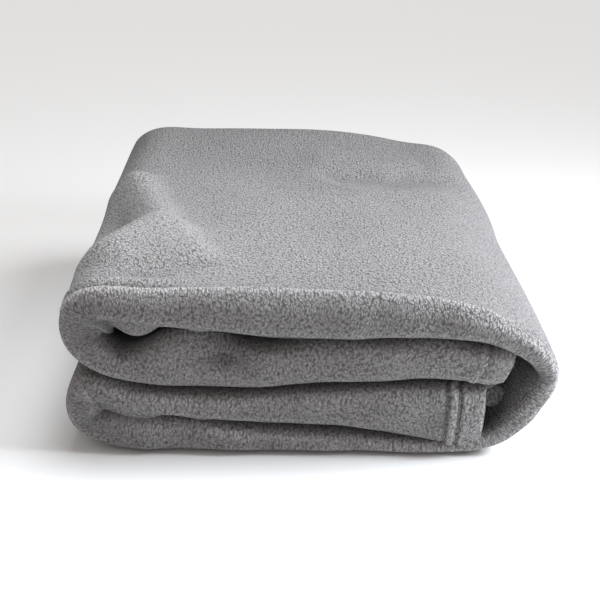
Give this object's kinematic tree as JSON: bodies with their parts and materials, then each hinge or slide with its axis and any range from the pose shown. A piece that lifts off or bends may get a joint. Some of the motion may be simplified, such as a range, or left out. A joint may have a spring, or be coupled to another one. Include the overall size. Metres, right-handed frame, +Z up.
{
  "type": "folded throw blanket",
  "caption": "Fleece throw folded to a four-ply strip, with both ends turned in and closed like a book; stitched hems, opens at its rounded spine.",
  "frame": {"origin": "middle of the folded stack's footprint, on the surface that it lies on", "axes": "+X towards the rounded spine, -Y towards the closed front folds, +Y back along the stack's longest side, +Z up"},
  "size_m": [0.32, 0.376, 0.12],
  "materials": {
    "fleece": "matte grey polar fleece with a short nubby pile",
    "fleece_hem": "the same fleece turned over and pressed flat by stitching",
    "hem_thread": "matte grey sewing thread"
  },
  "bodies": {
    "lower_half": {"lower_end_hem": "fleece_hem", "lower_flap": "fleece", "lower_turn": "fleece", "bottom_panel": "fleece", "lower_spine_bend": "fleece", "lower_side_hem_threads": "hem_thread", "lower_end_hem_needle_threads": "hem_thread", "lower_end_hem_looper_threads": "hem_thread"},
    "spine": {"spine_bend": "fleece", "spine_side_hem_threads": "hem_thread"},
    "upper_half": {"upper_spine_bend": "fleece", "top_panel": "fleece", "upper_turn": "fleece", "upper_flap": "fleece", "upper_end_hem": "fleece_hem", "upper_side_hem_threads": "hem_thread", "upper_end_hem_needle_threads": "hem_thread", "upper_end_hem_looper_threads": "hem_thread"}
  },
  "joints": [
    {"name": "lower_spine_fold", "type": "hinge", "parent": "lower_half", "child": "spine", "pos_m": [0.14243, 0, 0.01757], "axis": [0, 1, 0], "range_deg": [0, 90]},
    {"name": "upper_spine_fold", "type": "hinge", "parent": "spine", "child": "upper_half", "pos_m": [0.14243, 0, 0.10243], "axis": [0, 1, 0], "range_deg": [0, 90]}
  ],
  "couplings": [
    {"joint": "upper_spine_fold", "follows": "lower_spine_fold", "ratio": 1}
  ]
}
